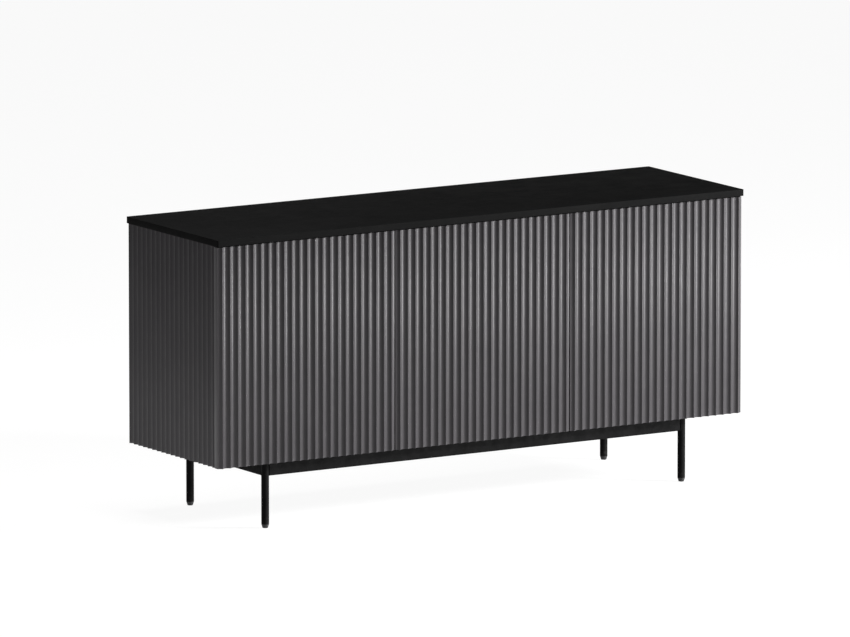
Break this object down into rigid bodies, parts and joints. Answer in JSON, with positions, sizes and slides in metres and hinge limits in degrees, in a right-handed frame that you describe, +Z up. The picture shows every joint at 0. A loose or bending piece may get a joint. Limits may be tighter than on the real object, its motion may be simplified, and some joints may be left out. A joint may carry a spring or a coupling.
{
  "type": "sideboard buffet",
  "caption": "Long low sideboard with fluted push-to-open doors and fluted sides under a thin dark top, on a slim black steel base with round legs.",
  "frame": {"origin": "on the floor under the centre of the top board", "axes": "+X along the width, +Y from the doors to the back, +Z up"},
  "size_m": [1.506, 0.434, 0.721],
  "materials": {
    "fluted_grey": "satin grey lacquer on fluted fibreboard",
    "top_black": "fine-textured black melamine",
    "carcass_grey": "matt dark grey melamine",
    "back_board": "painted thin fibreboard",
    "steel_black": "black powder coat",
    "nickel": "satin nickel plate",
    "zinc": "zinc plate",
    "plastic_black": "moulded black nylon",
    "plastic_grey": "moulded grey plastic",
    "beech": "grooved beech dowel"
  },
  "bodies": {
    "cabinet": {"top_panel": "top_black", "side_panel_left": "fluted_grey", "side_panel_right": "fluted_grey", "bottom_panel": "carcass_grey", "divider_left": "carcass_grey", "divider_right": "carcass_grey", "back_panel_left": "back_board", "back_panel_middle": "back_board", "back_panel_right": "back_board", "shelf_left": "carcass_grey", "shelf_middle": "carcass_grey", "shelf_right": "carcass_grey", "shelf_pins": "nickel", "hinge_arms_left": "nickel", "hinge_arms_middle": "nickel", "hinge_arms_right": "nickel", "hinge_mounting_plates": "nickel", "hinge_arm_pins": "zinc", "hinge_plate_screws": "zinc", "latch_housings": "plastic_grey", "latch_screws": "zinc", "leg_front_left": "steel_black", "leg_front_right": "steel_black", "leg_rear_left": "steel_black", "leg_rear_right": "steel_black", "rail_front": "steel_black", "rail_rear": "steel_black", "rail_left": "steel_black", "rail_right": "steel_black", "frame_plates": "steel_black", "frame_screws": "zinc", "foot_glides": "plastic_black", "cam_discs": "zinc", "cam_bolts": "zinc", "dowels": "beech", "back_screws": "zinc"},
    "links_left": {"hinge_links_left": "nickel"},
    "door_left": {"door_left": "fluted_grey", "hinge_cups_left": "nickel", "cup_pins_left": "zinc", "cup_screws_left": "zinc", "strike_plate_left": "nickel"},
    "plunger_left": {"latch_plunger_left": "plastic_black"},
    "links_middle": {"hinge_links_middle": "nickel"},
    "door_middle": {"door_middle": "fluted_grey", "hinge_cups_middle": "nickel", "cup_pins_middle": "zinc", "cup_screws_middle": "zinc", "strike_plate_middle": "nickel"},
    "plunger_middle": {"latch_plunger_middle": "plastic_black"},
    "links_right": {"hinge_links_right": "nickel"},
    "door_right": {"door_right": "fluted_grey", "hinge_cups_right": "nickel", "cup_pins_right": "zinc", "cup_screws_right": "zinc", "strike_plate_right": "nickel"},
    "plunger_right": {"latch_plunger_right": "plastic_black"}
  },
  "joints": [
    {"name": "links_left_turn", "type": "hinge", "parent": "cabinet", "child": "links_left", "pos_m": [-0.714, -0.1805, 0.43275], "axis": [0, 0, -1], "range_deg": [-42, 0]},
    {"name": "door_left_swing", "type": "hinge", "parent": "links_left", "child": "door_left", "pos_m": [-0.737, -0.1995, 0.43275], "axis": [0, 0, -1], "range_deg": [0, 142]},
    {"name": "links_middle_turn", "type": "hinge", "parent": "cabinet", "child": "links_middle", "pos_m": [-0.213, -0.1805, 0.43275], "axis": [0, 0, -1], "range_deg": [-42, 0]},
    {"name": "door_middle_swing", "type": "hinge", "parent": "links_middle", "child": "door_middle", "pos_m": [-0.236, -0.1995, 0.43275], "axis": [0, 0, -1], "range_deg": [0, 142]},
    {"name": "links_right_turn", "type": "hinge", "parent": "cabinet", "child": "links_right", "pos_m": [0.714, -0.1805, 0.43275], "axis": [0, 0, 1], "range_deg": [-42, 0]},
    {"name": "door_right_swing", "type": "hinge", "parent": "links_right", "child": "door_right", "pos_m": [0.737, -0.1995, 0.43275], "axis": [0, 0, 1], "range_deg": [0, 142]},
    {"name": "latch_left_press", "type": "slide", "parent": "cabinet", "child": "plunger_left", "axis": [0, 1, 0], "range_m": [0, 0.0025], "stiffness_N_per_m": 400},
    {"name": "latch_middle_press", "type": "slide", "parent": "cabinet", "child": "plunger_middle", "axis": [0, 1, 0], "range_m": [0, 0.0025], "stiffness_N_per_m": 400},
    {"name": "latch_right_press", "type": "slide", "parent": "cabinet", "child": "plunger_right", "axis": [0, 1, 0], "range_m": [0, 0.0025], "stiffness_N_per_m": 400}
  ],
  "couplings": [
    {"joint": "links_left_turn", "follows": "door_left_swing", "ratio": -0.29578},
    {"joint": "links_middle_turn", "follows": "door_middle_swing", "ratio": -0.29578},
    {"joint": "links_right_turn", "follows": "door_right_swing", "ratio": -0.29578}
  ]
}
